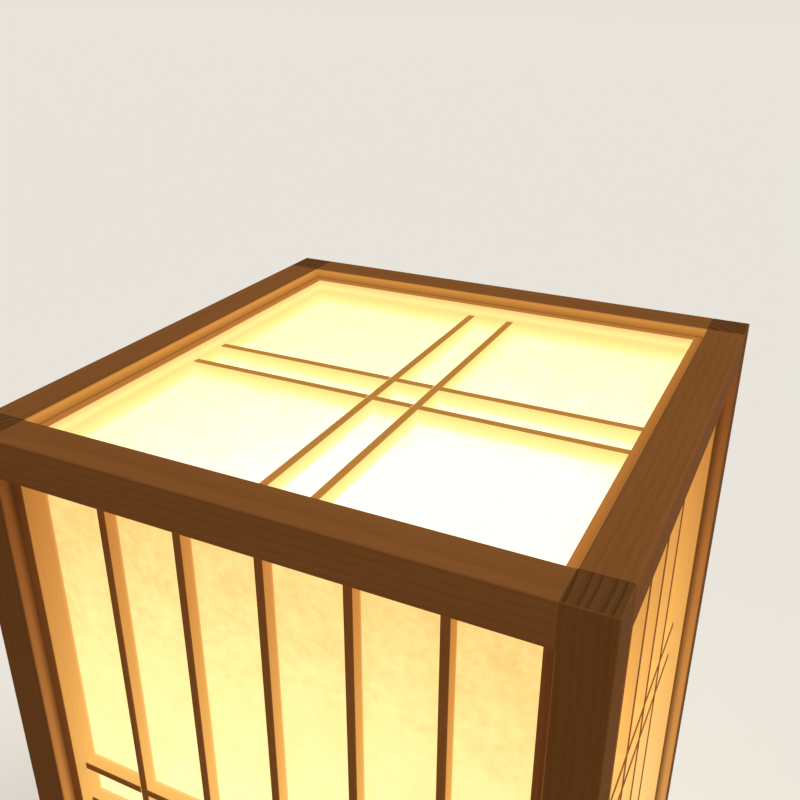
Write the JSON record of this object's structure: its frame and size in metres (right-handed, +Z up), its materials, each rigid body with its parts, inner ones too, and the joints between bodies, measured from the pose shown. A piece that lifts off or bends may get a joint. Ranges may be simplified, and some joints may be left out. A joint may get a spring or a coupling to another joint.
{
  "type": "andon floor lamp",
  "caption": "Square wooden floor lantern with glowing paper panels behind a thin lattice on every side, a lift-out paper top, and a bulb on a board across the open bottom.",
  "frame": {"origin": "on the floor, under the middle of the lamp", "axes": "+Z up along the posts, +X to the right along the front, -Y out of the front"},
  "size_m": [0.26, 0.26, 0.568],
  "materials": {
    "frame_wood": "planed softwood, straight grain, unvarnished, warm brown in lamp light",
    "lattice_wood": "planed softwood sticks, straight grain, unvarnished",
    "washi": "translucent handmade paper with cloudy long fibres, lit from inside",
    "rubber": "moulded black rubber",
    "screw_steel": "yellow passivated zinc",
    "phenolic": "moulded dark brown phenolic",
    "brass": "pressed sheet brass",
    "cap_metal": "nickel plated",
    "black_glass": "black insulator",
    "white_plastic": "moulded white plastic",
    "frosted_globe": "frosted translucent dome, lit from inside",
    "led_board": "white printed metal-core board",
    "led": "yellow phosphor",
    "circuit_board": "green circuit board",
    "felt": "brown felt"
  },
  "bodies": {
    "lamp": {"post_front_left": "frame_wood", "post_front_right": "frame_wood", "post_back_left": "frame_wood", "post_back_right": "frame_wood", "top_rail_front": "frame_wood", "bottom_rail_front": "frame_wood", "front_panel_stiles": "lattice_wood", "front_panel_rails": "lattice_wood", "front_kumiko_uprights": "lattice_wood", "front_kumiko_crossbars": "lattice_wood", "front_washi": "washi", "top_rail_right": "frame_wood", "bottom_rail_right": "frame_wood", "right_panel_stiles": "lattice_wood", "right_panel_rails": "lattice_wood", "right_kumiko_uprights": "lattice_wood", "right_kumiko_crossbars": "lattice_wood", "right_washi": "washi", "top_rail_back": "frame_wood", "bottom_rail_back": "frame_wood", "back_panel_stiles": "lattice_wood", "back_panel_rails": "lattice_wood", "back_kumiko_uprights": "lattice_wood", "back_kumiko_crossbars": "lattice_wood", "back_washi": "washi", "top_rail_left": "frame_wood", "bottom_rail_left": "frame_wood", "left_panel_stiles": "lattice_wood", "left_panel_rails": "lattice_wood", "left_kumiko_uprights": "lattice_wood", "left_kumiko_crossbars": "lattice_wood", "left_washi": "washi", "top_panel_ledges": "frame_wood", "lampholder_board": "frame_wood", "board_cleats": "frame_wood", "board_screws": "screw_steel", "cord_grommet": "rubber", "lampholder_body": "phenolic", "lampholder_shell": "brass", "lampholder_contact": "brass", "lampholder_rivets": "brass", "terminal_plates": "brass", "terminal_screws": "brass", "lampholder_screws": "screw_steel", "foot_pads": "felt"},
    "top_panel": {"top_panel_stiles": "lattice_wood", "top_panel_rails": "lattice_wood", "top_kumiko_lengthwise": "lattice_wood", "top_kumiko_crosswise": "lattice_wood", "top_washi": "washi"},
    "bulb": {"bulb_screw_cap": "cap_metal", "bulb_insulator": "black_glass", "bulb_tip_contact": "cap_metal", "bulb_housing": "white_plastic", "bulb_globe": "frosted_globe", "bulb_led_board": "led_board", "bulb_leds": "led", "bulb_driver": "circuit_board"}
  },
  "joints": [
    {"name": "top_panel_lift", "type": "slide", "parent": "lamp", "child": "top_panel", "axis": [0, 0, 1], "range_m": [0, 0.06]},
    {"name": "bulb_unscrew", "type": "hinge", "parent": "lamp", "child": "bulb", "pos_m": [0, 0, 0.0537], "axis": [0, 0, 1], "range_deg": [0, 1440]}
  ]
}
